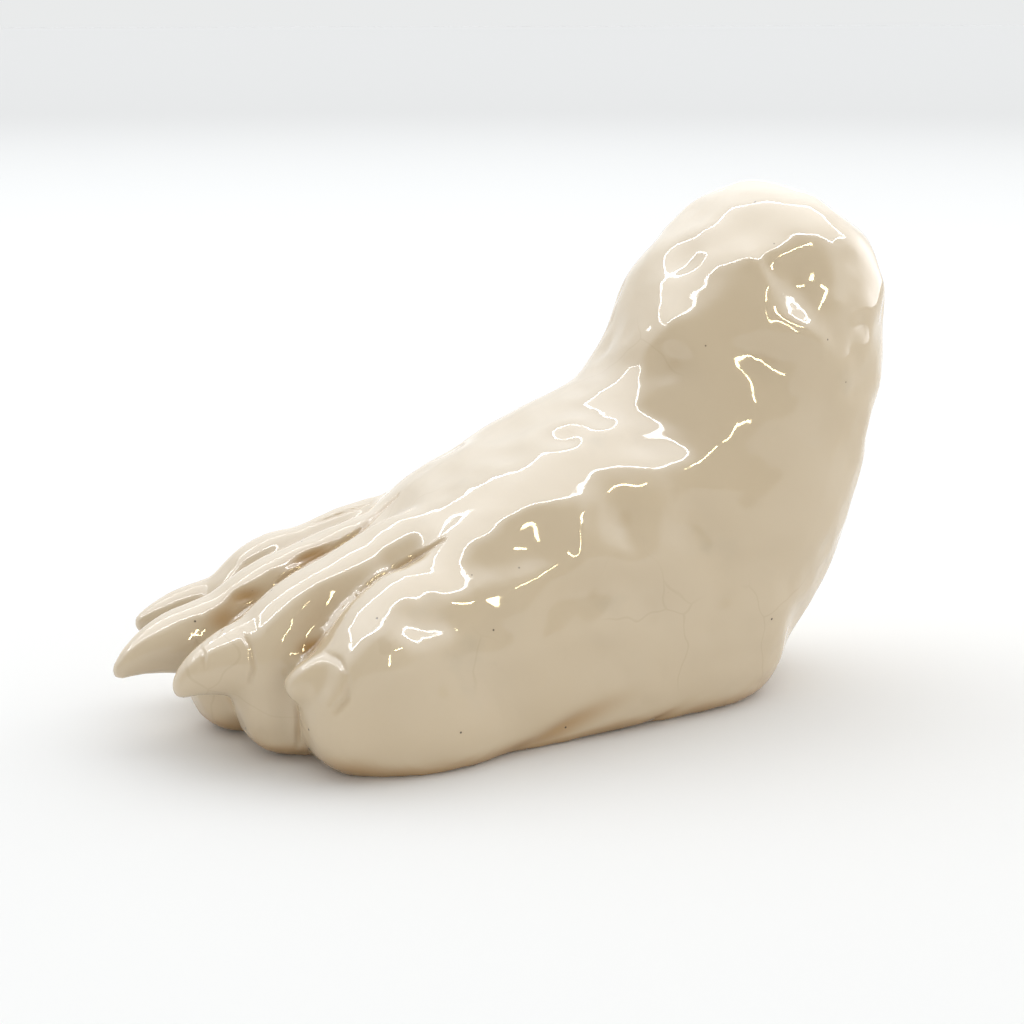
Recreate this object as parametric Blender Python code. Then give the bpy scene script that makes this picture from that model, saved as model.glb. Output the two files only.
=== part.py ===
"""A bear's paw modelled by hand in clay, fired and glazed: a broad foot with clawed toes, and the stump of the leg.

The whole sculpture is one solid. Tables are in millimetres, in the sculptor's frame: toes towards -X, the side
that shows most towards -Y, the table top at Z = 0. The finished object is in metres and centred over the origin.
"""

import math

import bmesh
import bpy
import numpy as np
from mathutils import Vector

MM = 0.001

CREAM_GLAZE = (0.56, 0.46, 0.33, 1.0)
GLAZE_ROUGHNESS = 0.08

# Foot and leg are one bent roll of clay, from behind the toes up to the top of the stump.
# Each section: upper edge (X, Z), lower edge (X, Z), half width. Edges under the table are cut away later.
BODY_SECTIONS = (
    (-64, 28, -58, 4, 28),
    (-50, 39.5, -48, -5, 39),
    (-22, 60.5, -24, -9, 43),
    (0, 72.5, 4, -9, 42),
    (17, 80, 32, -9, 40.5),
    (26.5, 85, 54, -7, 39.5),
    (31.2, 92, 72, 2, 38.5),
    (34.8, 99, 90.3, 25, 38),
    (39.8, 110, 102.3, 65, 37.5),
    (49.3, 120.5, 106.3, 96, 34),
    (59.3, 127.5, 101.5, 115, 27),
    (69, 132, 90.5, 126, 16),
    (75, 132.8, 84.5, 130, 7),
)
# Where a section stands on the table it is squarer than an ellipse, by this much in its lower half and in its upper
# half on the near side, and the sole lies a little towards the far side. All this fades out while the lower edge
# rises over this range.
SOLE_SQUARENESS = 2.3
SHOULDER_SQUARENESS = 0.7
SOLE_SHIFT = 1.5
SOLE_FADE = (-9.0, 4.0)

# Balls of the foot behind the toes, as ellipsoids: centre (X, Y, Z), half sizes (X, Y, Z).
BALLS = (
    ((-38, -25, 11), (29, 19.5, 24)),
    ((-52, 27, 10), (22, 17, 22)),
)

# Toes from the near side to the far side: half width, centre Y at the root and at the front, ridge line (X, Z).
TOES = {
    "outer": dict(half_width=17, root_y=-20, front_y=-28.5,
                  ridge=((-6, 38), (-25, 46), (-40, 48), (-53, 42.5), (-63, 32.5), (-68.5, 21.5), (-70.5, 14))),
    "second": dict(half_width=13.5, root_y=-6, front_y=-8,
                   ridge=((-18, 57), (-38, 54.5), (-54, 47), (-65, 42.5), (-75, 35.5), (-79, 25), (-80, 15))),
    "third": dict(half_width=13, root_y=12, front_y=14,
                  ridge=((-20, 54), (-38, 51), (-52, 46.5), (-66, 42), (-79, 33.5), (-84, 24), (-85, 15))),
    "inner": dict(half_width=13, root_y=28, front_y=36,
                  ridge=((-20, 52), (-36, 49.5), (-47, 46.3), (-60, 42.2), (-71.5, 31.5), (-75, 22), (-76, 14))),
}
# For each point of a ridge: share of the half width, how far back the lower edge lies, height of the lower edge.
TOE_PROFILE = (
    (0.75, -5, -4),
    (0.92, -2, -4),
    (1.0, -1, -4),
    (1.0, 1.5, -3.5),
    (0.88, 5, -1),
    (0.7, 5.5, 1),
    (0.38, 3, 5),
)
TOE_SQUARENESS = 2.8
TOE_SHOULDER_SQUARENESS = 2.8

# Claws: root and tip of the centre line (X, Y, Z), radius at the root and at the tip.
CLAWS = {
    "outer": ((-50, -30, 23.5), (-73, -25.5, 21), 9.5, 2.4),
    "second": ((-66, -8, 25), (-94, -6.5, 17.5), 10.7, 2.0),
    "third": ((-70, 14, 25.5), (-103, 13, 17.5), 10.0, 1.8),
    "inner": ((-60, 37, 24.5), (-90.5, 38, 21.5), 8.6, 1.8),
}
CLAW_TAPER = 2.2
CLAW_SLOPE_SHARE = 0.3
CLAW_HOOK = 5
CLAW_NARROWNESS = 0.9

# Creases pressed between the toes with the edge of a tool: points (X, Y, Z) from the foot down to the floor.
CREASES = (
    ((-30, -19, 54), (-42, -19, 47), (-55, -20, 37), (-63, -20, 28), (-68, -20, 18), (-69, -20, 4)),
    ((-30, 3, 59), (-42, 3, 51), (-54, 3, 45), (-66, 3, 38), (-75, 3, 29), (-79, 3, 12)),
    ((-28, 22, 54), (-40, 23, 48), (-54, 24, 43), (-66, 25, 36), (-74, 26, 26), (-76, 26, 10)),
)
CREASE_DEPTHS = (4.0, 4.2, 3.0)
CREASE_HALF_WIDTH = 3.0
CREASE_PRESS = (0.4, 0.0, -0.92)

# The deepest fingertip presses on the near side: place (X, Z), radius, how much longer than tall, depth.
FINGER_PRESSES = (
    (45, 104, 8, 1.6, 1.7),
    (64, 108, 9, 1.0, 1.7),
    (55, 90, 7.5, 1.4, 1.3),
    (36, 89, 7, 1.2, 1.2),
    (38, 74, 10, 1.3, 1.2),
    (-10, 53, 8, 1.3, 1.7),
    (12, 54, 7, 1.1, 1.3),
    (31, 53, 8.5, 1.2, 1.2),
    (-4, 39, 8, 1.4, 1.0),
    (17, 35, 9, 1.2, 0.8),
    (45, 115, 7, 1.2, 0.9),
    (58, 122, 7, 1.3, 1.0),
    (-7, 68, 6, 1.3, 0.9),
    (5, 73, 6, 1.4, 1.0),
    (17, 78, 6.5, 1.2, 0.9),
    (21, 72, 6, 1.3, 0.8),
    (-26, 34, 7.5, 1.1, 0.9),
    (8, 20, 9, 1.4, 0.5),
)
# Further presses all over the rest, in a fixed but irregular order, shallower where the foot nears the table.
SCATTER_SEED = 11
SCATTER_COUNT = 70
SCATTER_SPACING = 14.0
SCATTER_RADIUS = (7.0, 11.0)
SCATTER_STRETCH = (0.8, 1.6)
SCATTER_DEPTH = (0.6, 1.4)
SCATTER_FULL_HEIGHT = 60.0
TOE_CLEARANCE = -50.0
SOLE_CLEARANCE = 12.0

# The edge between side and sole is rounded over this height by this much.
SOLE_ROUND_HEIGHT = 4.5
SOLE_ROUND_DEPTH = 1.5

RING_POINTS = 48
CURVE_STEPS = 4
FUSE_VOXEL = 1.4
ROOT_ROUNDS = 30
SHAPE_ROUNDS = 8
CLAW_ROUNDS = 3
TARGET_TRIANGLES = 12000


def clear_scene():
    for obj in list(bpy.data.objects):
        bpy.data.objects.remove(obj)


def new_object(name, mesh):
    data = bpy.data.meshes.new(name)
    mesh.to_mesh(data)
    mesh.free()
    obj = bpy.data.objects.new(name, data)
    bpy.context.scene.collection.objects.link(obj)
    return obj


def loft(name, rings):
    """A closed skin over rings of points, with a flat face at each end."""
    mesh = bmesh.new()
    rows = [[mesh.verts.new(Vector(point) * MM) for point in ring] for ring in rings]
    count = len(rows[0])
    for near, far in zip(rows, rows[1:]):
        for i in range(count):
            j = (i + 1) % count
            mesh.faces.new((near[i], near[j], far[j], far[i]))
    mesh.faces.new(reversed(rows[0]))
    mesh.faces.new(rows[-1])
    bmesh.ops.recalc_face_normals(mesh, faces=mesh.faces)
    return new_object(name, mesh)


def smooth_table(rows, steps=CURVE_STEPS):
    """Rows of numbers joined by a smooth Catmull-Rom curve, with a few steps between each pair."""
    table = np.array(rows, float)
    padded = np.vstack([2 * table[0] - table[1], table, 2 * table[-1] - table[-2]])
    curve = []
    for k in range(len(table) - 1):
        a, b, c, d = padded[k:k + 4]
        for s in range(steps):
            t = s / steps
            square = 2 * a - 5 * b + 4 * c - d
            cube = 3 * b - a - 3 * c + d
            curve.append(0.5 * (2 * b + (c - a) * t + square * t ** 2 + cube * t ** 3))
    curve.append(table[-1])
    return curve


def section(top, bottom, y, half_width, lower, shoulder):
    """A ring between an upper and a lower edge point, as an ellipse has with a power of 2 and a squarer form has with
    more: one power for the lower half and one for the upper half on the near side."""
    middle = Vector(((top[0] + bottom[0]) / 2, y, (top[1] + bottom[1]) / 2))
    rise = Vector((top[0], y, top[1])) - middle
    points = []
    for i in range(RING_POINTS):
        angle = math.tau * i / RING_POINTS
        across, along = math.cos(angle), math.sin(angle)
        power = 2.0 / (lower if along < 0 else shoulder if across < 0 else 2.0)
        across = math.copysign(abs(across) ** power, across)
        along = math.copysign(abs(along) ** power, along)
        points.append(middle + Vector((0, half_width * across, 0)) + rise * along)
    return points


def body():
    rings = []
    for top_x, top_z, low_x, low_z, half_width in smooth_table(BODY_SECTIONS):
        standing = np.interp(low_z, SOLE_FADE, (1, 0))
        y = SOLE_SHIFT * standing
        rings.append(section((top_x, top_z), (low_x, low_z), y, half_width,
                             2 + SOLE_SQUARENESS * standing, 2 + SHOULDER_SQUARENESS * standing))
    return loft("body", rings)


def ball(index, centre, half_sizes):
    """A rounded lump of clay under the toes."""
    mesh = bmesh.new()
    bmesh.ops.create_uvsphere(mesh, u_segments=32, v_segments=20, radius=1.0)
    for vert in mesh.verts:
        vert.co = Vector([(c + v * h) * MM for c, v, h in zip(centre, vert.co, half_sizes)])
    return new_object("ball_" + str(index), mesh)


def toe(name, form):
    """A finger of clay that runs down from the foot and rounds off at its front."""
    stations = [(x, z, share * form["half_width"], x + back, low)
                for (x, z), (share, back, low) in zip(form["ridge"], TOE_PROFILE)]
    table = smooth_table(stations)
    centres = np.linspace(form["root_y"], form["front_y"], len(table))
    rings = [section((top_x, top_z), (low_x, low_z), y, half_width, TOE_SQUARENESS, TOE_SHOULDER_SQUARENESS)
             for (top_x, top_z, half_width, low_x, low_z), y in zip(table, centres)]
    return loft("toe_" + name, rings)


def claw(name, root, tip, root_radius, tip_radius):
    """A cone that leaves the top of the toe almost level and hooks down at its tip."""
    root, tip = np.array(root, float), np.array(tip, float)
    path, radii = [], []
    for t in np.linspace(0, 1, 4 * CURVE_STEPS + 1):
        drop = CLAW_SLOPE_SHARE * t + (1 - CLAW_SLOPE_SHARE) * t ** CLAW_HOOK
        path.append(Vector((*(root + (tip - root) * t)[:2], root[2] + (tip[2] - root[2]) * drop)))
        radii.append(tip_radius + (root_radius - tip_radius) * (1 - t ** CLAW_TAPER))
    rings = []
    for k, (centre, radius) in enumerate(zip(path, radii)):
        ahead = (path[min(k + 1, len(path) - 1)] - path[max(k - 1, 0)]).normalized()
        side = Vector((-ahead.y, ahead.x, 0)).normalized()
        rise = ahead.cross(side)
        angles = [math.tau * i / RING_POINTS for i in range(RING_POINTS)]
        rings.append([centre + (side * math.cos(a) * CLAW_NARROWNESS + rise * math.sin(a)) * radius
                      for a in angles])
    return loft("claw_" + name, rings)


def baked(obj):
    """The object with its modifiers turned into plain mesh."""
    graph = bpy.context.evaluated_depsgraph_get()
    graph.update()
    data = bpy.data.meshes.new_from_object(obj.evaluated_get(graph))
    obj.modifiers.clear()
    obj.data = data
    return obj


def fused(name, pieces):
    """One skin round overlapping pieces, as clay is pressed together."""
    merged = bmesh.new()
    for obj in pieces:
        merged.from_mesh(obj.data)
        bpy.data.objects.remove(obj)
    obj = new_object(name, merged)
    remesh = obj.modifiers.new("fuse", "REMESH")
    remesh.mode = "VOXEL"
    remesh.voxel_size = FUSE_VOXEL * MM
    return baked(obj)


def relaxed(obj, rounds):
    """The same skin with its edges smoothed, as by a wet sponge."""
    relax = obj.modifiers.new("relax", "SMOOTH")
    relax.iterations = rounds
    return baked(obj)


def skin_points(obj):
    points = np.empty(len(obj.data.vertices) * 3)
    obj.data.vertices.foreach_get("co", points)
    return points.reshape(-1, 3) / MM


def skin_normals(obj):
    normals = np.empty(len(obj.data.vertices) * 3)
    obj.data.vertex_normals.foreach_get("vector", normals)
    return normals.reshape(-1, 3)


def put_points(obj, points):
    obj.data.vertices.foreach_set("co", (points * MM).ravel())
    obj.data.update()
    return obj


def press_creases(obj):
    """Pushes the clay in along each crease, which starts shallow on the foot."""
    points = skin_points(obj)
    moved = points.copy()
    for stations, depth in zip(CREASES, CREASE_DEPTHS):
        path = np.array(smooth_table(stations))
        gap = np.linalg.norm(points[:, None, :] - path[None, :, :], axis=2)
        along = gap.argmin(axis=1) / (len(path) - 1)
        start = np.clip(along * 8, 0.15, 1.0)
        strength = depth * start * np.exp(-(gap.min(axis=1) / CREASE_HALF_WIDTH) ** 2)
        moved += strength[:, None] * np.array(CREASE_PRESS)
    return put_points(obj, moved)


def named_presses(points, normals):
    """The listed presses, each with its place looked up on the near side of the skin."""
    presses = []
    near_side = np.flatnonzero(normals[:, 1] < 0)
    for x, z, radius, stretch, depth in FINGER_PRESSES:
        gaps = np.linalg.norm(points[near_side][:, (0, 2)] - (x, z), axis=1)
        presses.append((points[near_side[gaps.argmin()]], radius, stretch, depth))
    return presses


def scattered_presses(points, taken):
    """Places for further presses: spread over the skin, none on the toes, the sole or where there is one already."""
    random = np.random.default_rng(SCATTER_SEED)
    places = [place for place, *_ in taken]
    presses = []
    for index in random.permutation(len(points)):
        place = points[index]
        if place[0] < TOE_CLEARANCE or place[2] < SOLE_CLEARANCE:
            continue
        if min(np.linalg.norm(place - other) for other in places) < SCATTER_SPACING:
            continue
        places.append(place)
        sizes = [random.uniform(*limits) for limits in (SCATTER_RADIUS, SCATTER_STRETCH, SCATTER_DEPTH)]
        sizes[-1] *= min(place[2] / SCATTER_FULL_HEIGHT, 1)
        presses.append((place, *sizes))
        if len(presses) == SCATTER_COUNT:
            break
    return presses


def press_fingers(obj):
    """Shallow bowls with soft raised rims, as fingertips leave in clay."""
    points, normals = skin_points(obj), skin_normals(obj)
    moved = points.copy()
    presses = named_presses(points, normals)
    for place, radius, stretch, depth in presses + scattered_presses(points, presses):
        offset = points - place
        inward = normals[np.linalg.norm(offset, axis=1).argmin()]
        level = np.cross(inward, (0, 0, 1))
        level /= np.linalg.norm(level) + 1e-6
        offset += np.outer(offset @ level, level) * (1 / stretch - 1)
        gap = np.linalg.norm(offset, axis=1) / radius
        bowl = depth * (1 - gap ** 2) * np.exp(-gap ** 2)
        moved -= bowl[:, None] * inward
    return put_points(obj, moved)


def round_sole_edge(obj):
    """Draws the skin in a little just above the table, so that the sole ends in a rounded edge."""
    points = skin_points(obj)
    low = np.clip(1 - points[:, 2] / SOLE_ROUND_HEIGHT, 0, 1)
    sideways = skin_normals(obj) * (1, 1, 0)
    return put_points(obj, points - sideways * (SOLE_ROUND_DEPTH * low ** 2)[:, None])


def thinned(obj):
    """Fewer triangles, kept where the surface bends most."""
    obj.data.calc_loop_triangles()
    thin = obj.modifiers.new("thin", "DECIMATE")
    thin.ratio = TARGET_TRIANGLES / len(obj.data.loop_triangles)
    return baked(obj)


def cut_flat(obj):
    """Everything under the table top is cut away and the cut closed with flat faces."""
    mesh = bmesh.new()
    mesh.from_mesh(obj.data)
    everything = mesh.verts[:] + mesh.edges[:] + mesh.faces[:]
    cut = bmesh.ops.bisect_plane(mesh, geom=everything, dist=1e-6, plane_co=(0, 0, 0), plane_no=(0, 0, -1),
                                 clear_outer=True)
    rim = [item for item in cut["geom_cut"] if isinstance(item, bmesh.types.BMEdge)]
    bmesh.ops.contextual_create(mesh, geom=rim)
    bmesh.ops.triangulate(mesh, faces=mesh.faces)
    bmesh.ops.recalc_face_normals(mesh, faces=mesh.faces)
    mesh.to_mesh(obj.data)
    mesh.free()
    return obj


def centred(obj):
    """Moves the sculpture so that the middle of its box stands over the origin."""
    points = skin_points(obj)
    middle = (points.min(axis=0) + points.max(axis=0)) / 2
    print("sculptor's frame: box middle at", middle.round(2))
    return put_points(obj, points - middle * (1, 1, 0))


def glazed(obj):
    glaze = bpy.data.materials.new("cream glaze")
    glaze.use_nodes = True
    shader = glaze.node_tree.nodes["Principled BSDF"]
    shader.inputs["Base Color"].default_value = CREAM_GLAZE
    shader.inputs["Roughness"].default_value = GLAZE_ROUGHNESS
    shader.inputs["Metallic"].default_value = 0.0
    obj.data.materials.clear()
    obj.data.materials.append(glaze)
    obj.data.shade_smooth()
    return obj


def main():
    clear_scene()
    toes = {name: toe(name, form) for name, form in TOES.items()}
    balls = [ball(index, *form) for index, form in enumerate(BALLS)]
    claws = [claw(name, *form) for name, form in CLAWS.items()]
    foot = relaxed(fused("foot", [body(), toes.pop("outer")] + balls), ROOT_ROUNDS)
    foot = press_creases(relaxed(fused("foot", [foot] + list(toes.values())), SHAPE_ROUNDS))
    paw = relaxed(fused("paw", [foot] + claws), CLAW_ROUNDS)
    paw = round_sole_edge(press_fingers(paw))
    glazed(centred(cut_flat(thinned(paw))))


main()
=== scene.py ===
# %% [markdown]
# # A glazed clay paw
# The real object is a bear's paw modelled by hand: a thick roll of clay bent into a foot and a leg, with
# clawed toes, pressed all over by fingertips, fired, and covered with a thick, glossy cream glaze. The
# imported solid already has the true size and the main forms. This lesson turns it into a smooth skin,
# presses the finer marks of hand and tool into it, glazes it, and sets it in a light tent.

import math

import bmesh
import bpy
from mathutils import Matrix, Vector, kdtree


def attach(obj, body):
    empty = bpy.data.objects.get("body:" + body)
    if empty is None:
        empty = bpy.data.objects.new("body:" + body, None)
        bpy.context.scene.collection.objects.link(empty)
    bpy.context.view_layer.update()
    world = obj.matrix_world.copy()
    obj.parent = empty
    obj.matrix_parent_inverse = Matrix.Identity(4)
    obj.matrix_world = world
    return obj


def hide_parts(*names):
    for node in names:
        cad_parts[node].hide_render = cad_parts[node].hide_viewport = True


MM = 0.001
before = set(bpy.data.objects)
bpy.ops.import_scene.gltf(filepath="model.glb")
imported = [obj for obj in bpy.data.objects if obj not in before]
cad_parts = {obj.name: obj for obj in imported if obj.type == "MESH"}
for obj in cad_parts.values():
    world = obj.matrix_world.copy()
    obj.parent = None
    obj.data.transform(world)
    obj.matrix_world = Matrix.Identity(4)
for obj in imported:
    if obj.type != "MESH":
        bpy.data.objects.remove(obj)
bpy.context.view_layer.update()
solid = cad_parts["paw"]

# %% [markdown]
# ## The camera
# A short telephoto lens looks down at the outer side of the foot from a little in front of it. The camera
# could be placed by hand and eye. A target, two angles and a distance are easier to read, and to correct
# one at a time.

# %% Camera
CAMERA_AZIMUTH = math.radians(-27)
CAMERA_ELEVATION = math.radians(14)
CAMERA_DISTANCE = 474 * MM
CAMERA_TARGET = Vector((-19, -34.5, 60)) * MM
LENS = 70
SENSOR = 36
CLIP_START = 10 * MM

towards_camera = Vector((
    math.sin(CAMERA_AZIMUTH) * math.cos(CAMERA_ELEVATION),
    -math.cos(CAMERA_AZIMUTH) * math.cos(CAMERA_ELEVATION),
    math.sin(CAMERA_ELEVATION),
))
lens = bpy.data.cameras.new("camera")
lens.lens = LENS
lens.sensor_width = SENSOR
lens.clip_start = CLIP_START
camera = bpy.data.objects.new("camera", lens)
camera.location = CAMERA_TARGET + towards_camera * CAMERA_DISTANCE
camera.rotation_euler = towards_camera.to_track_quat("Z", "Y").to_euler()
bpy.context.scene.collection.objects.link(camera)
bpy.context.scene.camera = camera
print("camera, mm:", [round(place / MM) for place in camera.location])

# %% [markdown]
# ## The clay skin
# The solid is made of flat facets, which a glossy glaze would show at once. A copy is merged, rebuilt as
# an even net of small squares, and then relaxed. Plain smoothing would shrink the claws, so each round of
# smoothing is followed by a round that pushes the skin back out by nearly as much.

# %% Even skin
WELD_DISTANCE = 0.001 * MM
SKIN_SQUARE = 1.03 * MM
SMOOTHING_ROUNDS = 10
SMOOTHING_IN = 0.6
SMOOTHING_OUT = -0.62


def plain_mesh(obj):
    """Turns an object's modifiers into mesh and removes them."""
    graph = bpy.context.evaluated_depsgraph_get()
    graph.update()
    made = bpy.data.meshes.new_from_object(obj.evaluated_get(graph))
    obj.modifiers.clear()
    obj.data = made


def merged_copy(source, name):
    """A copy of a mesh whose triangles share their corners."""
    net = bmesh.new()
    net.from_mesh(source.data)
    bmesh.ops.remove_doubles(net, verts=net.verts, dist=WELD_DISTANCE)
    mesh = bpy.data.meshes.new(name)
    net.to_mesh(mesh)
    net.free()
    obj = bpy.data.objects.new(name, mesh)
    bpy.context.scene.collection.objects.link(obj)
    return obj


paw = merged_copy(solid, "glazed_paw")
even = paw.modifiers.new("even net", "REMESH")
even.mode = "VOXEL"
even.voxel_size = SKIN_SQUARE
plain_mesh(paw)
for _ in range(SMOOTHING_ROUNDS):
    for strength in (SMOOTHING_IN, SMOOTHING_OUT):
        relax = paw.modifiers.new("relax", "SMOOTH")
        relax.factor = strength
        relax.iterations = 1
plain_mesh(paw)
print("skin squares:", len(paw.data.polygons))

# %% [markdown]
# ## Building node trees
# A Geometry Nodes tree makes the presses and creases, and a shader tree makes the glaze. A few small
# helpers keep them readable: one adds a node, one wires a value or a socket into it, and two write sums
# the short way. Each node could be written out in full, but the trees below have a great many.

# %% Node helpers
def add(tree, kind, **settings):
    """A new node with its settings."""
    node = tree.nodes.new(kind)
    for name, value in settings.items():
        setattr(node, name, value)
    return node


def wire(tree, value, socket):
    """Feeds a socket from another socket, or sets it to a plain value."""
    if isinstance(value, bpy.types.NodeSocket):
        tree.links.new(value, socket)
    else:
        socket.default_value = value


def scalar(tree, operation, *values):
    """A Math node."""
    node = add(tree, "ShaderNodeMath", operation=operation)
    for value, socket in zip(values, node.inputs):
        wire(tree, value, socket)
    return node.outputs[0]


def vector(tree, operation, first, second=None, scale=None):
    """A Vector Math node."""
    node = add(tree, "ShaderNodeVectorMath", operation=operation)
    wire(tree, first, node.inputs[0])
    if second is not None:
        wire(tree, second, node.inputs[1])
    if scale is not None:
        wire(tree, scale, node.inputs["Scale"])
    return node.outputs["Value" if operation in ("LENGTH", "DISTANCE", "DOT_PRODUCT") else "Vector"]


print("helpers: add, wire, scalar, vector")

# %% [markdown]
# ## The glaze
# The glaze is a clear cream glass over pale clay. It is darker and more amber where it pools in hollows,
# paler where it runs thin over ridges, and carries a few iron specks. Painted images could hold all this.
# Noise on Object coordinates does it without a picture, and an attribute from the shape itself says where
# the glaze pools.

# %% Glaze colours
GLAZE_CREAM = (0.505, 0.403, 0.268, 1)
GLAZE_PALE = (0.535, 0.443, 0.320, 1)
GLAZE_ROUGHNESS = 0.05
GLAZE_IOR = 1.55
CLOUD_SCALE = 28.0
CLOUD_DETAIL = 2.0


def mixed(tree, share, first, second):
    """A colour between two others."""
    node = add(tree, "ShaderNodeMix", data_type="RGBA", clamp_factor=True)
    wire(tree, share, node.inputs["Factor"])
    wire(tree, first, node.inputs["A"])
    wire(tree, second, node.inputs["B"])
    return node.outputs["Result"]


def ramp(tree, value, low, high):
    """0 below the low value, 1 above the high one, and a soft change between."""
    node = add(tree, "ShaderNodeMapRange", interpolation_type="SMOOTHSTEP")
    wire(tree, value, node.inputs["Value"])
    wire(tree, low, node.inputs["From Min"])
    wire(tree, high, node.inputs["From Max"])
    return node.outputs["Result"]


def noise_node(tree, place, scale, detail):
    """Cloudy numbers and colours around a half."""
    node = add(tree, "ShaderNodeTexNoise")
    wire(tree, place, node.inputs["Vector"])
    wire(tree, scale, node.inputs["Scale"])
    wire(tree, detail, node.inputs["Detail"])
    return node


def noise(tree, place, scale, detail):
    """Cloudy numbers."""
    return noise_node(tree, place, scale, detail).outputs["Fac"]


glaze = bpy.data.materials.new("cream_glaze")
glaze.use_nodes = True
shading = glaze.node_tree
surface = shading.nodes["Principled BSDF"]
surface.inputs["Roughness"].default_value = GLAZE_ROUGHNESS
surface.inputs["IOR"].default_value = GLAZE_IOR
coordinates = add(shading, "ShaderNodeTexCoord")
place = coordinates.outputs["Object"]
clouds = noise(shading, place, CLOUD_SCALE, CLOUD_DETAIL)
body_colour = mixed(shading, clouds, GLAZE_CREAM, GLAZE_PALE)
print("glaze colours:", GLAZE_CREAM[:3], GLAZE_PALE[:3])

# %% [markdown]
# ### Where the glaze pools, and painted shade under the foot
# Melted glaze runs into creases, where it is thick and amber, and off the ridges, where it is pale. The
# shape stores two numbers on its points: "pool" near a tool stroke and "dip" for how hollow the place is,
# in mm. The shader turns them into colour. It also paints shade in the same amber on low places that face
# down, under the toes and the sole, and a thin line of painted shade along the sole's edge, from height and
# slope.

# %% Pooled glaze and painted shade
AMBER_POOL_AND_SHADE = (0.35, 0.21, 0.085, 1)
GLAZE_RIDGE = (0.60, 0.52, 0.41, 1)
DIP_POOLS = (0.25, 1.1)
RIDGE_PALES = (0.5, 2.2)
DIP_SHARE = 0.7
RIDGE_SHARE = 0.5
SHADE_UNDER_SLOPE = (0.15, 0.75)
SHADE_UNDER_HEIGHT = (2 * MM, 12 * MM)
SHADE_UNDER_SHARE = 0.8
EDGE_SHADE_HEIGHT = (0.8 * MM, 4.0 * MM)
EDGE_SHADE_SHARE = 0.75
pool = add(shading, "ShaderNodeAttribute", attribute_name="pool").outputs["Fac"]
dip = add(shading, "ShaderNodeAttribute", attribute_name="dip").outputs["Fac"]
in_dips = scalar(shading, "MULTIPLY", ramp(shading, dip, *DIP_POOLS), DIP_SHARE)
on_ridges = ramp(shading, scalar(shading, "MULTIPLY", dip, -1.0), *RIDGE_PALES)
height = add(shading, "ShaderNodeSeparateXYZ")
wire(shading, place, height.inputs[0])
slope = add(shading, "ShaderNodeSeparateXYZ")
wire(shading, coordinates.outputs["Normal"], slope.inputs[0])
# Painted shade: low places that face down, and a thin line along the sole's edge, are turned amber as shade.
facing_down = ramp(shading, scalar(shading, "MULTIPLY", slope.outputs["Z"], -1.0), *SHADE_UNDER_SLOPE)
low = scalar(shading, "SUBTRACT", 1.0, ramp(shading, height.outputs["Z"], *SHADE_UNDER_HEIGHT))
painted_shade_under = scalar(shading, "MULTIPLY", scalar(shading, "MULTIPLY", facing_down, low), SHADE_UNDER_SHARE)
painted_edge_shade = scalar(shading, "SUBTRACT", 1.0, ramp(shading, height.outputs["Z"], *EDGE_SHADE_HEIGHT))
painted_shade_under = scalar(shading, "MAXIMUM", painted_shade_under, scalar(shading, "MULTIPLY", painted_edge_shade, EDGE_SHADE_SHARE))
amber_share = scalar(shading, "MAXIMUM", scalar(shading, "MAXIMUM", pool, in_dips), painted_shade_under)
ridged = mixed(shading, scalar(shading, "MULTIPLY", on_ridges, RIDGE_SHARE), body_colour, GLAZE_RIDGE)
colour = mixed(shading, amber_share, ridged, AMBER_POOL_AND_SHADE)
print("glaze pools in dips of", DIP_POOLS, "mm and thins over ridges of", RIDGE_PALES, "mm")

# %% [markdown]
# ### Specks, hairlines and smudges
# Iron in the clay burns through as specks about half a millimetre wide. Each is the neighbourhood of one
# Voronoi point: few points lie close enough to the surface to show. Hairlines follow the walls of larger,
# bent Voronoi cells and show only here and there. Grey smudges are the peaks of a noise.

# %% Specks, hairlines and smudges
IRON = (0.08, 0.06, 0.045, 1)
HAIRLINE_BROWN = (0.30, 0.21, 0.12, 1)
SMUDGE_GREY = (0.40, 0.34, 0.25, 1)
SPECK_CELLS = 105.0
SPECK_SIZE = (0.020, 0.042)
HAIRLINE_CELLS = 26.0
HAIRLINE_WIDTH = (0.002, 0.009)
HAIRLINE_SHARE = 0.12
HAIRLINE_BEND = 0.012
HAIRLINE_BEND_SCALE = 2 * HAIRLINE_CELLS
HAIRLINE_BEND_DETAIL = 2.0
HAIRLINE_PLACES = (0.56, 0.64)
HAIRLINE_PLACES_DETAIL = 0.0
SMUDGE_SCALE = 45.0
SMUDGE_DETAIL = 4.0
SMUDGE_PEAKS = (0.62, 0.78)
SMUDGE_SHARE = 0.35
specks = add(shading, "ShaderNodeTexVoronoi")
wire(shading, place, specks.inputs["Vector"])
wire(shading, SPECK_CELLS, specks.inputs["Scale"])
speck = scalar(shading, "SUBTRACT", 1.0, ramp(shading, specks.outputs["Distance"], *SPECK_SIZE))
bends = noise_node(shading, place, HAIRLINE_BEND_SCALE, HAIRLINE_BEND_DETAIL).outputs["Color"]
bent = vector(shading, "ADD", place, vector(shading, "SCALE", bends, scale=HAIRLINE_BEND))
walls = add(shading, "ShaderNodeTexVoronoi", feature="DISTANCE_TO_EDGE")
wire(shading, bent, walls.inputs["Vector"])
wire(shading, HAIRLINE_CELLS, walls.inputs["Scale"])
line = scalar(shading, "SUBTRACT", 1.0, ramp(shading, walls.outputs["Distance"], *HAIRLINE_WIDTH))
large_clouds = noise(shading, place, CLOUD_SCALE, HAIRLINE_PLACES_DETAIL)
here_and_there = ramp(shading, large_clouds, *HAIRLINE_PLACES)
hairline = scalar(shading, "MULTIPLY", scalar(shading, "MULTIPLY", line, here_and_there), HAIRLINE_SHARE)
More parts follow.
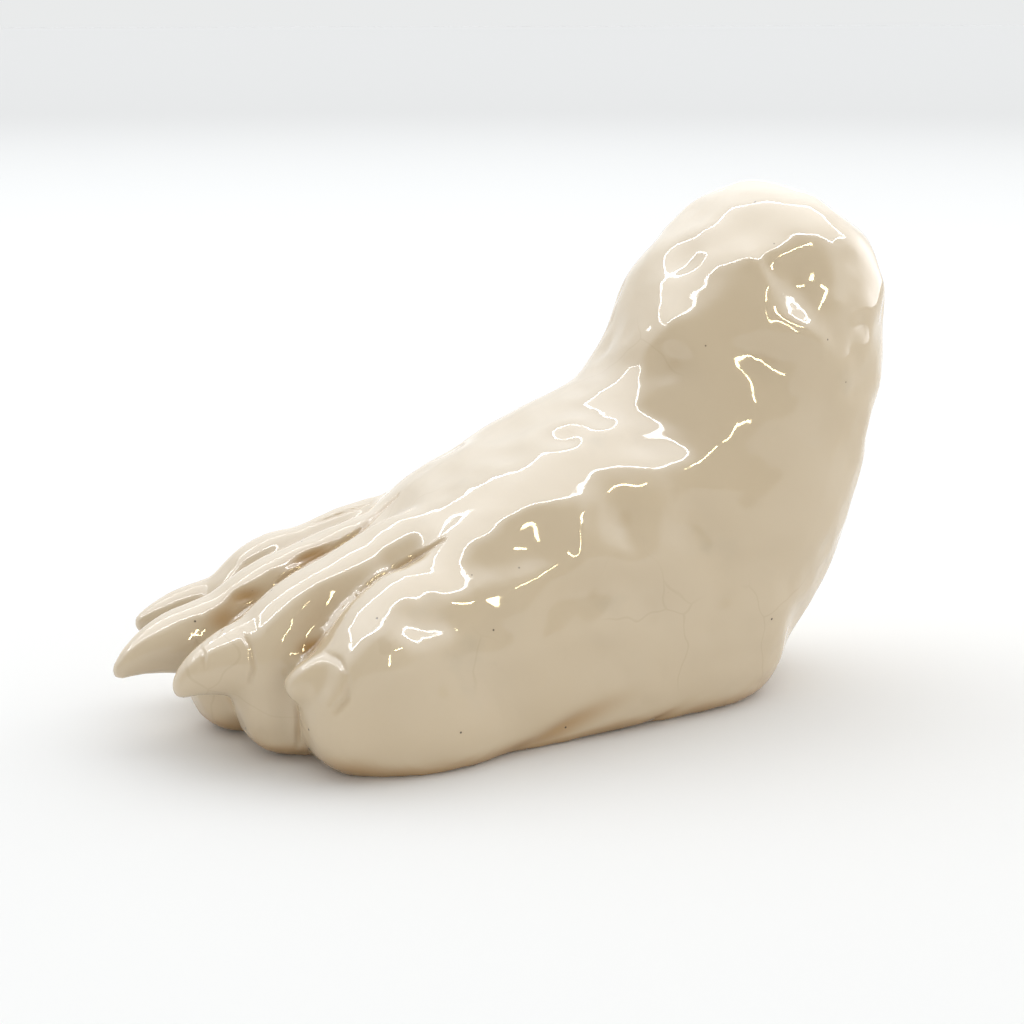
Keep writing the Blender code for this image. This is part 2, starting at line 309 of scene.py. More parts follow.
peaks = ramp(shading, noise(shading, place, SMUDGE_SCALE, SMUDGE_DETAIL), *SMUDGE_PEAKS)
smudge = scalar(shading, "MULTIPLY", peaks, SMUDGE_SHARE)
colour = mixed(shading, hairline, colour, HAIRLINE_BROWN)
colour = mixed(shading, smudge, colour, SMUDGE_GREY)
colour = mixed(shading, speck, colour, IRON)
wire(shading, colour, surface.inputs["Base Color"])
print("specks, mm wide:", [round(2 * size / SPECK_CELLS / MM, 2) for size in SPECK_SIZE])

# %% [markdown]
# ### Fine waves
# Even a smooth glaze isn't flat: it sets in low waves, a few hundredths of a millimetre high and a few
# millimetres long, which make the mirrored edges waver. They are far below the mesh, so a bump does them.

# %% Fine waves
WAVE_SCALE = 230.0
WAVE_DETAIL = 1.0
WAVE_HEIGHT = 0.045 * MM
waves = add(shading, "ShaderNodeBump")
wire(shading, noise(shading, place, WAVE_SCALE, WAVE_DETAIL), waves.inputs["Height"])
waves.inputs["Distance"].default_value = WAVE_HEIGHT
wire(shading, waves.outputs["Normal"], surface.inputs["Normal"])
print("waves, mm high:", round(WAVE_HEIGHT / MM, 3))

# %% [markdown]
# ## Places in the picture
# A mark that shows in the photograph is easiest to place where it is seen: by a column and a row in the
# picture. A ray from the camera through that place finds the point on the skin. Points in space could be
# typed in instead, but one picture doesn't give their depth, and the skin does.

# %% Picture places
PICTURE_SIZE = 1024
LENS_PIXELS = LENS / SENSOR * PICTURE_SIZE
picture_right = Vector((math.cos(CAMERA_AZIMUTH), math.sin(CAMERA_AZIMUTH), 0))
picture_up = towards_camera.cross(picture_right)


def picture_ray(column, row):
    """The direction from the camera through a place in the picture."""
    across = picture_right * (column - PICTURE_SIZE / 2)
    up = picture_up * (PICTURE_SIZE / 2 - row)
    return (across + up - towards_camera * LENS_PIXELS).normalized()


def picture_place(column, row):
    """The point of the skin seen at a place in the picture, and the direction into the clay there."""
    _, point, normal, _ = paw.ray_cast(camera.location, picture_ray(column, row))
    return point, -normal


def picture_axis(turn, inward):
    """A direction along the skin that has this turn in the picture, in degrees from level."""
    angle = math.radians(turn)
    axis = picture_right * math.cos(angle) + picture_up * math.sin(angle)
    return (axis - inward * axis.dot(inward)).normalized()


print("picture pixels in a mm of the paw:", round(LENS_PIXELS / (CAMERA_DISTANCE / MM), 1))

# %% [markdown]
# ## Fingertip presses
# The whole surface was pressed with fingertips: shallow bowls, some with a soft rim, and low swellings
# between them. They could be sculpted one by one. They repeat over a surface, so a Geometry Nodes tree
# makes them further down. Here are the ones that show in the photograph, where the bend of a mirrored
# edge gives each one away.

# %% Press list
# Column and row in the picture, half height in mm, length to height, turn of the long axis in degrees,
# depth in mm, how much of a rim it has, and how much glaze pools in it. A swelling has a negative depth.
PRESSES = (
    (692, 312, 5.5, 2.0, 4, -1.2, 0, 0),
    (735, 302, 5.0, 1.6, 0, -0.8, 0, 0),
    (690, 262, 6.0, 1.2, 0, 0.85, 0, 0),
    (690, 365, 5.0, 1.8, 0, 0.6, 0, 0),
    (662, 342, 11.0, 1.3, 0, -2.6, 0, 0),
    (803, 270, 8.0, 1.0, 0, 1.2, 0.3, 0),
    (824, 312, 5.0, 1.6, -20, 0.3, 1, 0),
    (745, 352, 4.5, 2.2, -10, 0.9, 0.5, 0),
    (757, 268, 2.5, 3.0, -60, -0.8, 0, 0),
    (805, 334, 2.8, 3.3, -27, -0.75, 0, 0),
    (764, 308, 1.6, 3.0, 90, -0.4, 0, 0),
    (655, 418, 10.5, 1.1, 0, 2.5, 0, 0),
    (790, 392, 7.0, 1.2, 0, 0.8, 1, 0),
    (715, 432, 7.0, 1.4, 0, -0.9, 0, 0),
    (770, 560, 6.0, 1.4, 60, 0.5, 0.3, 0),
    (712, 540, 7.5, 1.7, -55, 0.9, 0.3, 0),
    (622, 505, 6.5, 1.2, 0, 0.5, 0.2, 0),
    (581, 530, 1.6, 4.0, 90, -0.4, 0, 0),
    (600, 590, 8.0, 1.3, 0, 0.8, 1, 0),
    (500, 562, 9.0, 1.4, 10, 2.4, 0, 0),
    (398, 664, 8.5, 1.6, 0, -3.4, 0, 0),
    (316, 664, 4.0, 1.5, 50, -0.7, 0, 0),
    (545, 418, 5.0, 3.0, 22, 0.6, 0, 0),
    (655, 610, 6.5, 1.5, -30, 0.7, 0.3, 0),
    (548, 610, 6.0, 1.4, 70, 0.8, 0.3, 0),
    (820, 430, 7.0, 1.3, 80, 0.6, 0.3, 0),
    (600, 655, 7.0, 1.6, 10, 0.6, 0.3, 0),
    (480, 690, 7.0, 1.5, 0, 0.6, 0.3, 0),
    (760, 660, 6.0, 1.6, 20, 0.5, 0.3, 0),
    (560, 732, 3.0, 5.0, 8, 1.0, 0, 0.8),
    (655, 721, 2.0, 5.0, 10, 0.5, 0, 0.5),
    (322, 615, 5.0, 1.6, 55, 1.0, 0, 0.25),
    (310, 556, 1.8, 3.6, 32, 0.7, 0, 1.0),
    (246, 595, 2.0, 2.4, 12, 0.8, 0, 0.9),
    (222, 618, 3.0, 1.4, 40, 1.0, 0, 0.8),
    (308, 646, 1.6, 1.8, 30, 0.5, 0, 0.9),
)
print("known presses:", len(PRESSES))

# %% [markdown]
# ## Tool strokes
# A thin tool drew the creases between the toes and round the claws. A stroke could be a groove cut along
# a curve. It is a row of small presses here, so the same tree makes it, and its ends fade out softly as
# the tool lifts.

# %% Stroke list
# Places along the stroke in the picture, half width in mm, depth in mm, and how much glaze pools in it.
STROKES = (
    (((444, 538), (425, 550), (410, 560), (392, 571)), 0.7, 0.75, 1.0),
    (((392, 571), (378, 578), (362, 590), (348, 604), (335, 619), (322, 634)), 0.6, 0.50, 0.6),
    (((322, 634), (312, 645), (303, 654)), 0.7, 0.50, 0.8),
    (((296, 706), (297, 722), (298, 748)), 0.7, 0.50, 0.8),
    (((398, 494), (376, 514), (356, 534), (334, 549)), 0.7, 0.65, 0.9),
    (((334, 549), (310, 561), (284, 578), (262, 597)), 0.6, 0.45, 0.6),
    (((262, 597), (246, 607), (230, 618), (216, 636)), 0.6, 0.50, 0.8),
    (((372, 503), (345, 512), (312, 524)), 0.6, 0.30, 0.3),
    (((320, 652), (340, 660), (350, 678), (347, 698), (334, 712)), 0.9, 0.35, 0.1),
    (((241, 630), (251, 648), (254, 666), (249, 684)), 0.6, 0.32, 0.3),
    (((196, 640), (204, 654), (204, 668)), 0.6, 0.25, 0.2),
)
# Picture pixels from one small press to the next, how softly a stroke fades towards its ends (0 is not at
# all), and what share of its glaze one small press gathers for each mm of half width.
STROKE_STEP = 2.6
STROKE_ENDS = 0.4
POOL_PER_WIDTH = 0.5


def stroke_rows(stroke):
    """A stroke as a row of small presses, shallower towards its two ends."""
    places, half_width, depth, pool = stroke
    lengths = [math.dist(start, stop) for start, stop in zip(places, places[1:])]
    count = round(sum(lengths) / STROKE_STEP)
    rows = []
    for step in range(count + 1):
        gone = sum(lengths) * step / count
        index = 0
        while index < len(lengths) - 1 and gone > lengths[index]:
            gone -= lengths[index]
            index += 1
        share = min(gone / lengths[index], 1)
        column, row = [a + (b - a) * share for a, b in zip(places[index], places[index + 1])]
        fade = math.sin(math.pi * (step + 0.5) / (count + 1)) ** STROKE_ENDS
        pooling = pool * fade * half_width * POOL_PER_WIDTH
        rows.append((column, row, half_width, 1, 0, depth * fade, 0, pooling))
    return rows


strokes = [row for stroke in STROKES for row in stroke_rows(stroke)]
print("small presses in strokes:", len(strokes))

# %% [markdown]
# ### The listed presses as points
# A geometry tree can't read a list, so the presses become the points of a small mesh that carries their
# directions and sizes. Each press could have sockets of its own instead, but a mesh takes any number.

# %% Press points
def press_points(rows):
    """A mesh of single points that carry the directions and sizes of the listed presses."""
    found = [picture_place(column, row) for column, row, *_ in rows]
    axes = [picture_axis(row[4], inward) for row, (_, inward) in zip(rows, found)]
    mesh = bpy.data.meshes.new("press_points")
    mesh.from_pydata([point for point, _ in found], [], [])
    for name, directions in (("inward", [inward for _, inward in found]), ("along", axes)):
        layer = mesh.attributes.new(name, "FLOAT_VECTOR", "POINT")
        layer.data.foreach_set("vector", [part for direction in directions for part in direction])
    for name, column, unit in (
        ("reach", 2, MM),
        ("stretch", 3, 1),
        ("depth", 5, MM),
        ("rim", 6, 1),
        ("pooling", 7, 1),
    ):
        layer = mesh.attributes.new(name, "FLOAT", "POINT")
        layer.data.foreach_set("value", [row[column] * unit for row in rows])
    obj = bpy.data.objects.new("press_points", mesh)
    bpy.context.scene.collection.objects.link(obj)
    return obj


known_presses = press_points(list(PRESSES) + strokes)
print("press points:", len(known_presses.data.vertices))

# %% [markdown]
# ### A finer net along the strokes
# A stroke is hardly wider than one square of the skin. Smaller squares everywhere would be far too many,
# so only those near a stroke are divided.

# %% Finer squares
STROKE_REACH = 2.6 * MM
STROKE_CUTS = 2


def finer_near(obj, places, reach):
    """Divides the squares of the skin near some places, where fine strokes will be pressed."""
    tree = kdtree.KDTree(len(places))
    for index, place in enumerate(places):
        tree.insert(place, index)
    tree.balance()
    net = bmesh.new()
    net.from_mesh(obj.data)
    near = {vert for vert in net.verts if tree.find(vert.co)[2] < reach}
    edges = [edge for edge in net.edges if edge.verts[0] in near and edge.verts[1] in near]
    bmesh.ops.subdivide_edges(net, edges=edges, cuts=STROKE_CUTS, use_grid_fill=True)
    net.to_mesh(obj.data)
    net.free()


finer_near(paw, [picture_place(column, row)[0] for column, row, *_ in strokes], STROKE_REACH)
print("skin squares now:", len(paw.data.polygons))

# %% [markdown]
# ## The tree that presses
# One Geometry Nodes tree makes the whole relief. A person could sculpt it, but a tree with named sizes can
# be run again with other ones. Short forms of the four nodes that it uses most come first.

# %% Short forms of tree nodes
def stored(tree, geometry, name, value, kind="FLOAT"):
    """Keeps a value on each point under a name."""
    node = add(tree, "GeometryNodeStoreNamedAttribute", data_type=kind, domain="POINT")
    wire(tree, geometry, node.inputs["Geometry"])
    wire(tree, name, node.inputs["Name"])
    wire(tree, value, node.inputs["Value"])
    return node.outputs["Geometry"]


def named(tree, name, kind="FLOAT"):
    """Reads a named value back."""
    node = add(tree, "GeometryNodeInputNamedAttribute", data_type=kind)
    wire(tree, name, node.inputs["Name"])
    return node.outputs["Attribute"]


def randomly(tree, low, high, seed):
    """A random number for each point between two limits."""
    node = add(tree, "FunctionNodeRandomValue", data_type="FLOAT")
    wire(tree, low, node.inputs[2])
    wire(tree, high, node.inputs[3])
    wire(tree, seed, node.inputs["Seed"])
    return node.outputs[1]


def picked(tree, geometry, value, index, kind="FLOAT"):
    """The value that one point of a geometry has."""
    node = add(tree, "GeometryNodeSampleIndex", data_type=kind, domain="POINT")
    wire(tree, geometry, node.inputs["Geometry"])
    wire(tree, value, node.inputs["Value"])
    wire(tree, index, node.inputs["Index"])
    return node.outputs["Value"]


print("short forms: stored, named, randomly, picked")

# %% [markdown]
# ### Where the tree presses
# Besides the listed presses, the tree scatters others over the skin, with a fixed seed. Plain random places
# would clump. These stay at least one spacing apart, as the marks of a hand that moves on with each press.

# %% Scattered and known spots
DENSITY_LIMIT = 1e6


def scattered_spots(tree, given):
    """Points all over the skin, each with its directions and a random reach, depth and stretch."""
    scatter = add(tree, "GeometryNodeDistributePointsOnFaces", distribute_method="POISSON")
    wire(tree, given["Geometry"], scatter.inputs["Mesh"])
    wire(tree, given["Spacing"], scatter.inputs["Distance Min"])
    wire(tree, DENSITY_LIMIT, scatter.inputs["Density Max"])
    wire(tree, given["Seed"], scatter.inputs["Seed"])
    inward = vector(tree, "SCALE", scatter.outputs["Normal"], scale=-1.0)
    level = vector(tree, "NORMALIZE", vector(tree, "CROSS_PRODUCT", inward, (0, 0, 1)))
    spots = stored(tree, scatter.outputs["Points"], "inward", inward, "FLOAT_VECTOR")
    spots = stored(tree, spots, "along", level, "FLOAT_VECTOR")
    spots = stored(tree, spots, "rim", 1.0)
    spots = stored(tree, spots, "pooling", 0.0)
    for shift, name in enumerate(("reach", "depth", "stretch"), start=1):
        seed = scalar(tree, "ADD", given["Seed"], shift)
        number = randomly(tree, given["Least " + name], given["Most " + name], seed)
        spots = stored(tree, spots, name, number)
    return spots


def known_spots(tree, given):
    """The listed presses, as points."""
    listed = add(tree, "GeometryNodeObjectInfo", transform_space="ORIGINAL")
    wire(tree, given["Known presses"], listed.inputs["Object"])
    points = add(tree, "GeometryNodeMeshToPoints")
    wire(tree, listed.outputs["Geometry"], points.inputs["Mesh"])
    return points.outputs["Points"]


def all_spots(tree, given):
    """The known presses first, then the scattered ones."""
    joined = add(tree, "GeometryNodeJoinGeometry")
    tree.links.new(known_spots(tree, given), joined.inputs[0])
    tree.links.new(scattered_spots(tree, given), joined.inputs[0])
    return joined.outputs[0]


print("spots: scattered_spots, known_spots, all_spots")

# %% [markdown]
# ### The shape of a press
# A ball pushed into the skin would leave a sharp ring. A bowl here is a bell curve of the distance from its
# middle, so it has no edge, and a rim is the same curve with a rise round it.

# %% One bowl
def bell(tree, offset, along, reach, stretch):
    """The squared distance from the middle in reaches, shorter along the long axis, and its bell curve."""
    squeeze = scalar(tree, "SUBTRACT", scalar(tree, "DIVIDE", 1.0, stretch), 1.0)
    sideways = scalar(tree, "MULTIPLY", vector(tree, "DOT_PRODUCT", offset, along), squeeze)
    offset = vector(tree, "ADD", offset, vector(tree, "SCALE", along, scale=sideways))
    gap = scalar(tree, "DIVIDE", vector(tree, "LENGTH", offset), reach)
    square = scalar(tree, "MULTIPLY", gap, gap)
    return square, scalar(tree, "EXPONENT", scalar(tree, "MULTIPLY", square, -1.0))


def one_press(tree, skin, spots, turn):
    """Presses the skin at one of the spots, and adds the glaze that pools there."""
    here = add(tree, "GeometryNodeInputPosition").outputs[0]
    centre = picked(tree, spots, here, turn, "FLOAT_VECTOR")
    inward, along = [picked(tree, spots, named(tree, name, "FLOAT_VECTOR"), turn, "FLOAT_VECTOR")
                     for name in ("inward", "along")]
    reach, stretch, depth, rim, pooling = [picked(tree, spots, named(tree, name), turn)
                                           for name in ("reach", "stretch", "depth", "rim", "pooling")]
    square, fade = bell(tree, vector(tree, "SUBTRACT", here, centre), along, reach, stretch)
    rise = scalar(tree, "SUBTRACT", 1.0, scalar(tree, "MULTIPLY", square, rim))
    bowl = scalar(tree, "MULTIPLY", rise, fade)
    amber_share = scalar(tree, "ADD", named(tree, "pool"), scalar(tree, "MULTIPLY", fade, pooling))
    push = vector(tree, "SCALE", inward, scale=scalar(tree, "MULTIPLY", bowl, depth))
    press = add(tree, "GeometryNodeSetPosition")
    wire(tree, stored(tree, skin, "pool", amber_share), press.inputs["Geometry"])
    wire(tree, push, press.inputs["Offset"])
    return press.outputs["Geometry"]


print("one bowl: bell, one_press")

# %% [markdown]
# ### One press after another
# A repeat zone presses the bowls in turn. The places of the skin's points are then blurred, and what a point
# lies below the blurred skin is kept as its dip, for the glaze to pool in.

# %% One bowl after another
def every_press(tree, skin, spots):
    """A repeat zone that goes through the spots."""
    count = add(tree, "GeometryNodeAttributeDomainSize", component="POINTCLOUD")
    wire(tree, spots, count.inputs[0])
    start = add(tree, "GeometryNodeRepeatInput")
    stop = add(tree, "GeometryNodeRepeatOutput")
    start.pair_with_output(stop)
    wire(tree, count.outputs["Point Count"], start.inputs["Iterations"])
    wire(tree, stored(tree, skin, "pool", 0.0), start.inputs["Geometry"])
    pressed = one_press(tree, start.outputs["Geometry"], spots, start.outputs["Iteration"])
    wire(tree, pressed, stop.inputs["Geometry"])
    return stop.outputs["Geometry"]


def with_dips(tree, skin, blur_rounds):
    """Keeps how far each point lies below the blurred skin, in mm."""
    here = add(tree, "GeometryNodeInputPosition").outputs[0]
    blurred = add(tree, "GeometryNodeBlurAttribute", data_type="FLOAT_VECTOR")
    wire(tree, here, blurred.inputs["Value"])
    wire(tree, blur_rounds, blurred.inputs["Iterations"])
    inside = vector(tree, "SUBTRACT", blurred.outputs["Value"], here)
    dip = vector(tree, "DOT_PRODUCT", inside, add(tree, "GeometryNodeInputNormal").outputs[0])
    return stored(tree, skin, "dip", scalar(tree, "DIVIDE", dip, MM))


print("whole relief: every_press, with_dips")

# %% [markdown]
# ### Building and running the tree
# Three helpers start a geometry tree, run it on an object and end it. The tree is built from its parts and
# gets its sizes by name. Its modifier could stay live, but then it would run again each time the scene is
# drawn, so it leaves plain mesh with the glaze on it.

# %% Start, run and end a tree
def new_geometry_tree(name, inputs):
    """A tree that takes and gives a geometry, with named inputs."""
    tree = bpy.data.node_groups.new(name, "GeometryNodeTree")
    tree.interface.new_socket("Geometry", in_out="INPUT", socket_type="NodeSocketGeometry")
    for label, kind in inputs:
        tree.interface.new_socket(label, in_out="INPUT", socket_type=kind)
    tree.interface.new_socket("Geometry", in_out="OUTPUT", socket_type="NodeSocketGeometry")
    return tree, add(tree, "NodeGroupInput"), add(tree, "NodeGroupOutput")


def run_tree(obj, tree, values):
    """Runs a geometry tree on an object with its inputs set, and keeps the result as plain mesh."""
    modifier = obj.modifiers.new(tree.name, "NODES")
    modifier.node_group = tree
    for item in tree.interface.items_tree:
        if item.item_type == "SOCKET" and item.name in values:
            modifier[item.identifier] = values[item.name]
    plain_mesh(obj)


def ending(tree, geometry, output, material):
    """Realize Instances and Set Material, as the last steps of a tree."""
    real = add(tree, "GeometryNodeRealizeInstances")
    paint = add(tree, "GeometryNodeSetMaterial")
    wire(tree, geometry, real.inputs[0])
    wire(tree, real.outputs[0], paint.inputs["Geometry"])
    wire(tree, material, paint.inputs["Material"])
    wire(tree, paint.outputs[0], output.inputs["Geometry"])


print("helpers: new_geometry_tree, run_tree, ending")

# %% Press tree
SCATTER_SPACING = 9.0 * MM
SCATTER_REACH = (3.5 * MM, 6.5 * MM)
SCATTER_DEPTH = (0.08 * MM, 0.34 * MM)
SCATTER_STRETCH = (0.8, 1.7)
SCATTER_SEED = 5
DIP_BLUR_ROUNDS = 24

press_tree, group_in, group_out = new_geometry_tree("fingertip_presses", (
    ("Known presses", "NodeSocketObject"),
    ("Spacing", "NodeSocketFloat"),
    ("Least reach", "NodeSocketFloat"),
    ("Most reach", "NodeSocketFloat"),
    ("Least depth", "NodeSocketFloat"),
    ("Most depth", "NodeSocketFloat"),
    ("Least stretch", "NodeSocketFloat"),
    ("Most stretch", "NodeSocketFloat"),
    ("Seed", "NodeSocketInt"),
    ("Blur rounds", "NodeSocketInt"),
    ("Glaze", "NodeSocketMaterial"),
))
given = group_in.outputs
pressed = every_press(press_tree, given["Geometry"], all_spots(press_tree, given))
pressed = with_dips(press_tree, pressed, given["Blur rounds"])
ending(press_tree, pressed, group_out, given["Glaze"])
run_tree(paw, press_tree, {
    "Known presses": known_presses,
    "Spacing": SCATTER_SPACING,
    "Least reach": SCATTER_REACH[0],
    "Most reach": SCATTER_REACH[1],
    "Least depth": SCATTER_DEPTH[0],
    "Most depth": SCATTER_DEPTH[1],
    "Least stretch": SCATTER_STRETCH[0],
    "Most stretch": SCATTER_STRETCH[1],
    "Seed": SCATTER_SEED,
    "Blur rounds": DIP_BLUR_ROUNDS,
    "Glaze": glaze,
})
bpy.data.objects.remove(known_presses)
paw.data.shade_smooth()
print("pressed skin:", len(paw.data.polygons), "squares")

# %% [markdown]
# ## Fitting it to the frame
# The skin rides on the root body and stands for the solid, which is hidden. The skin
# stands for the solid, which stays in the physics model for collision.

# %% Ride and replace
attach(paw, "root")
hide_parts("paw")
print("shown piece:", paw.name)

# %% [markdown]
# ## The light tent
# The paw stands in a tent like a white box. A lit panel with a bright frame hangs overhead, and the side
# towards the camera is open to a darker room with two warm lamps. One lamp overhead could light the
# clay and be mirrored too. What the glaze mirrors and what lights the clay are kept apart here, so each
# can be set by itself.

# %% Light tent
PANEL_HEIGHT = 0.70
PANEL_FRONT = 0.19
PANEL_BACK = 0.34
PANEL_HALF_WIDTH = 0.90
PANEL_RADIANCE = 1.1
PANEL_LIGHT = 0.5
PANEL_LIGHT_SHIFT = 0.30
PANEL_LIGHT_DROP = 0.02
EDGE_WIDTH = 0.025
EDGE_RADIANCE = 14.0
EDGE_DROP = 0.005
# Cycles gives an area light of 4 watts per square metre a brightness of 1.
WATTS_PER_SQUARE_METRE = 4

level_front = Vector((math.sin(CAMERA_AZIMUTH), -math.cos(CAMERA_AZIMUTH), 0))
level_right = Vector((math.cos(CAMERA_AZIMUTH), math.sin(CAMERA_AZIMUTH), 0))


def tent_place(right, forward, height):
    """A point given from the middle of the object: to the camera's right, towards the camera, and up."""
    return level_right * right + level_front * forward + Vector((0, 0, height))


def glowing_panel(name, middle, facing, upright, width, height, radiance, colour=(1, 1, 1), mirrored=True):
    """A rectangle of light that the camera doesn't see: mirrored in the glaze, or lighting the clay."""
    light = bpy.data.lights.new(name, "AREA")
    light.shape = "RECTANGLE"
    light.size = width
    light.size_y = height
    light.energy = radiance * width * height * WATTS_PER_SQUARE_METRE
    light.color = colour
    obj = bpy.data.objects.new(name, light)
    away = -facing.normalized()
    side = upright.cross(away).normalized()
    turned = Matrix((side, away.cross(side), away)).transposed()
    obj.matrix_world = Matrix.Translation(middle) @ turned.to_4x4()
    obj.visible_camera = False
    obj.visible_diffuse = not mirrored
    obj.visible_glossy = mirrored
    bpy.context.scene.collection.objects.link(obj)


down = Vector((0, 0, -1))
panel_width = 2 * PANEL_HALF_WIDTH
panel_depth = PANEL_FRONT + PANEL_BACK
panel_middle = (PANEL_FRONT - PANEL_BACK) / 2
mirrored_place = tent_place(0, panel_middle, PANEL_HEIGHT)
lighting_place = tent_place(0, panel_middle - PANEL_LIGHT_SHIFT, PANEL_HEIGHT - PANEL_LIGHT_DROP)
glowing_panel("panel", mirrored_place, down, level_front, panel_width, panel_depth, PANEL_RADIANCE)
glowing_panel("panel_light", lighting_place, down, level_front, panel_width, panel_depth, PANEL_LIGHT,
              mirrored=False)
for name, forward in (("front_edge", PANEL_FRONT), ("back_edge", -PANEL_BACK)):
    edge_place = tent_place(0, forward, PANEL_HEIGHT - EDGE_DROP)
    glowing_panel(name, edge_place, down, level_front, panel_width, EDGE_WIDTH, EDGE_RADIANCE)
for name, right in (("right_edge", PANEL_HALF_WIDTH), ("left_edge", -PANEL_HALF_WIDTH)):
    edge_place = tent_place(right, panel_middle, PANEL_HEIGHT - EDGE_DROP)
    glowing_panel(name, edge_place, down, level_front, EDGE_WIDTH, panel_depth, EDGE_RADIANCE)
print("panel, m:", panel_width, "by", round(panel_depth, 2))

# %% [markdown]
# ## The lamps of the room
# Two warm lamps behind the camera make the short yellow glints in the bowls. They could light the clay too,
# but that would turn it far too yellow for a white tent, so they are only mirrored.

# %% Warm lamps
WARM = (1.0, 0.82, 0.45)
LAMP_AIM = Vector((0, 0, 0.06))
# Name, turn in degrees from straight back towards the right, rise in degrees, distance, width and height
# in metres, and brightness.
LAMPS = (
    ("lamp_high", 138, 40, 1.5, 0.42, 0.06, 40.0),
    ("lamp_low", 160, 22, 1.5, 0.06, 0.60, 35.0),
)
for name, azimuth, elevation, distance, width, height, radiance in LAMPS:
    turn, rise = math.radians(azimuth), math.radians(elevation)
    direction = (level_right * math.sin(turn) - level_front * math.cos(turn)) * math.cos(rise)
    direction += Vector((0, 0, math.sin(rise)))
    lamp_place = direction * distance + LAMP_AIM
    glowing_panel(name, lamp_place, -direction, Vector((0, 0, 1)), width, height, radiance, WARM)
print("lamps:", len(LAMPS))

# %% [markdown]
# ## The walls of the tent
# The glaze mirrors the tent's walls and roof, which are brighter the higher they are, and the dark room
# in front. The wall low on the right is brighter still, and edges the heel with light. The clay is lit
# evenly from the back, less from the front, a little more from the right, and strongly from low in front,
# where white card throws light under the foot. A world shader can tell these kinds of rays apart, so no
# large model of the tent is needed.

# %% Walls, roof and room
BLACK = (0, 0, 0, 1)
MIRRORED_WALL = (1.2, 1.25, 1.3, 1)
MIRRORED_ROOF = (4.0, 4.2, 4.4, 1)
MIRRORED_RIGHT = (2.8, 2.8, 2.9, 1)
MIRRORED_ROOM = (0.28, 0.25, 0.20, 1)
ROOF_RISES = (0.1, 0.95)
ROOM_STARTS = (0.1, 0.6)
RIGHT_STARTS = (0.5, 0.8)
RIGHT_ENDS = (-0.45, 0.05)
RIGHT_TOP = (0.2, 0.7)

world = bpy.data.worlds.new("light_tent")
world.use_nodes = True
bpy.context.scene.world = world
sky = world.node_tree
sky.nodes.clear()
direction = add(sky, "ShaderNodeTexCoord").outputs["Generated"]
frontness = vector(sky, "DOT_PRODUCT", direction, tuple(level_front))
rightness = vector(sky, "DOT_PRODUCT", direction, tuple(level_right))
parts = add(sky, "ShaderNodeSeparateXYZ")
wire(sky, direction, parts.inputs[0])
rise = parts.outputs["Z"]


def one_minus(value):
    """The other share."""
    return scalar(sky, "SUBTRACT", 1.0, value)


wall = mixed(sky, ramp(sky, rise, *ROOF_RISES), MIRRORED_WALL, MIRRORED_ROOF)
behind = one_minus(ramp(sky, frontness, *RIGHT_ENDS))
low_right = scalar(sky, "MULTIPLY", behind, ramp(sky, rightness, *RIGHT_STARTS))
low_right = scalar(sky, "MULTIPLY", low_right, one_minus(ramp(sky, rise, *RIGHT_TOP)))
wall = vector(sky, "ADD", wall, mixed(sky, low_right, BLACK, MIRRORED_RIGHT))
mirrored = mixed(sky, ramp(sky, frontness, *ROOM_STARTS), wall, MIRRORED_ROOM)
print("mirrored roof, wall and room:", MIRRORED_ROOF[0], MIRRORED_WALL[0], MIRRORED_ROOM[0])

# %% What lights the clay, and the backdrop
LIT_BACK = (0.99, 0.99, 0.99, 1)
LIT_FRONT = (0.32, 0.32, 0.32, 1)
LIT_RIGHT = (0.32, 0.32, 0.32, 1)
LIT_LOW = (2.4, 2.4, 2.35, 1)
LIT_BACK_ENDS = (-0.3, 0.7)
LIT_RIGHT_STARTS = (0.3, 0.9)
LOW_STARTS = (0.0, 0.6)
LOW_TOP = (0.05, 0.40)
SEEN = (0.82, 0.83, 0.83, 1)

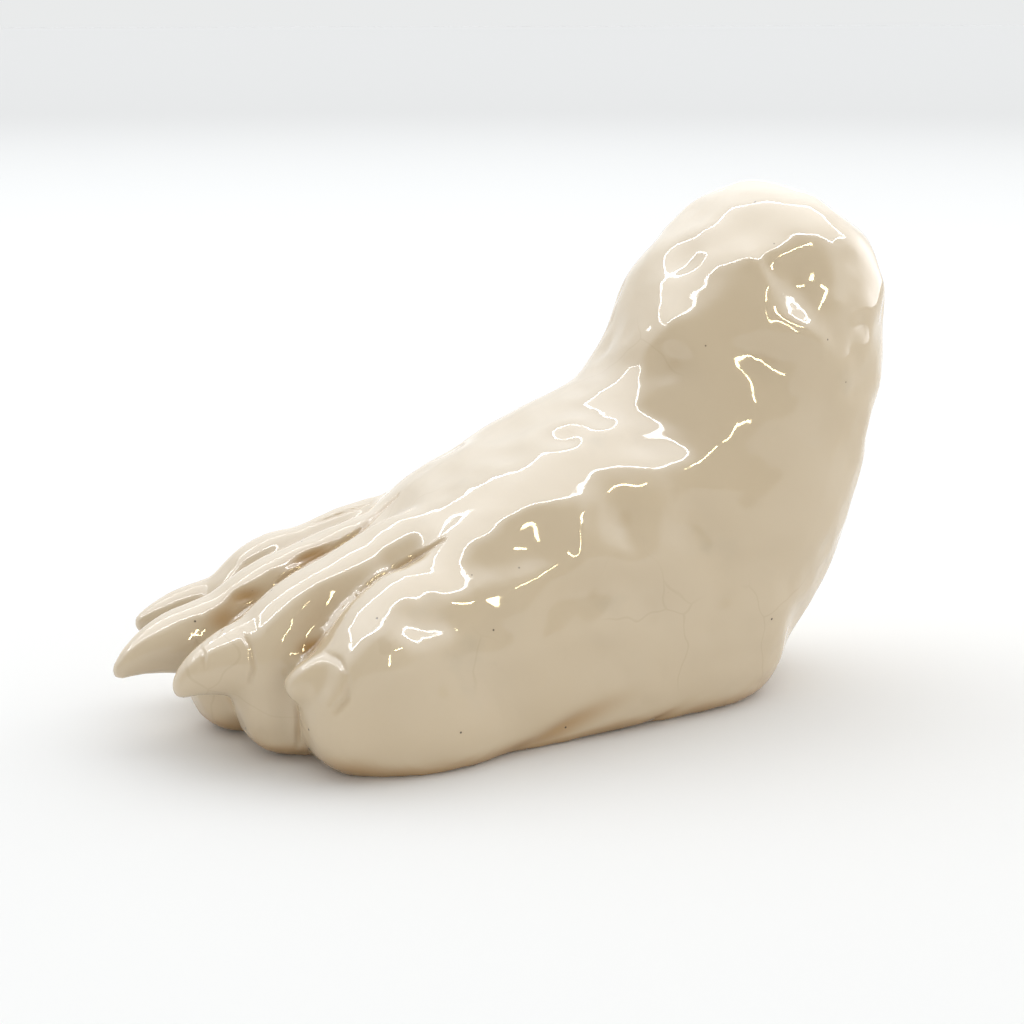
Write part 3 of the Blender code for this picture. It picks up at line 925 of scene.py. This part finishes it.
lit = mixed(sky, ramp(sky, frontness, *LIT_BACK_ENDS), LIT_BACK, LIT_FRONT)
lit = vector(sky, "ADD", lit, mixed(sky, ramp(sky, rightness, *LIT_RIGHT_STARTS), BLACK, LIT_RIGHT))
low_front = scalar(sky, "MULTIPLY", one_minus(ramp(sky, rise, *LOW_TOP)), ramp(sky, frontness, *LOW_STARTS))
lit = vector(sky, "ADD", lit, mixed(sky, low_front, BLACK, LIT_LOW))
ray = add(sky, "ShaderNodeLightPath")
around = mixed(sky, ray.outputs["Is Diffuse Ray"], mirrored, lit)
backdrop = mixed(sky, ray.outputs["Is Camera Ray"], around, SEEN)
glow = add(sky, "ShaderNodeBackground")
wire(sky, backdrop, glow.inputs["Color"])
sky_output = add(sky, "ShaderNodeOutputWorld")
wire(sky, glow.outputs[0], sky_output.inputs["Surface"])
print("world nodes:", len(sky.nodes))

# %% [markdown]
# ## The paper floor
# The paw stands on white paper that runs back. Shade is painted into its colour: a little greyer with
# distance from the paw, as the light falls off. A large plane is enough. The Standard view keeps the
# paper white, where Blender's usual view would turn it grey.

# %% Floor
FLOOR_SIZE = 60.0
FLOOR_NEAR = (0.88, 0.88, 0.87, 1)
FLOOR_FAR_PAINTED_SHADE = (0.66, 0.655, 0.645, 1)
FLOOR_SHADE_FADE = (0.8, 3.5)
PAPER_ROUGHNESS = 0.9
PAPER_GLOSS = 0.0
floor_mesh = bpy.data.meshes.new("floor")
half = FLOOR_SIZE / 2
corners = [(-half, -half, 0), (half, -half, 0), (half, half, 0), (-half, half, 0)]
floor_mesh.from_pydata(corners, [], [(0, 1, 2, 3)])
floor = bpy.data.objects.new("floor", floor_mesh)
bpy.context.scene.collection.objects.link(floor)
paper = bpy.data.materials.new("white_paper")
paper.use_nodes = True
sheet = paper.node_tree
distance = vector(sheet, "LENGTH", add(sheet, "ShaderNodeTexCoord").outputs["Object"])
# Painted shade: the paper's colour greys with distance from the paw, for the light that falls off.
paper_colour_and_shade = mixed(sheet, ramp(sheet, distance, *FLOOR_SHADE_FADE), FLOOR_NEAR, FLOOR_FAR_PAINTED_SHADE)
paper_surface = sheet.nodes["Principled BSDF"]
wire(sheet, paper_colour_and_shade, paper_surface.inputs["Base Color"])
paper_surface.inputs["Roughness"].default_value = PAPER_ROUGHNESS
paper_surface.inputs["Specular IOR Level"].default_value = PAPER_GLOSS
floor_mesh.materials.append(paper)
bpy.context.scene.view_settings.view_transform = "Standard"
print("floor, m:", FLOOR_SIZE)
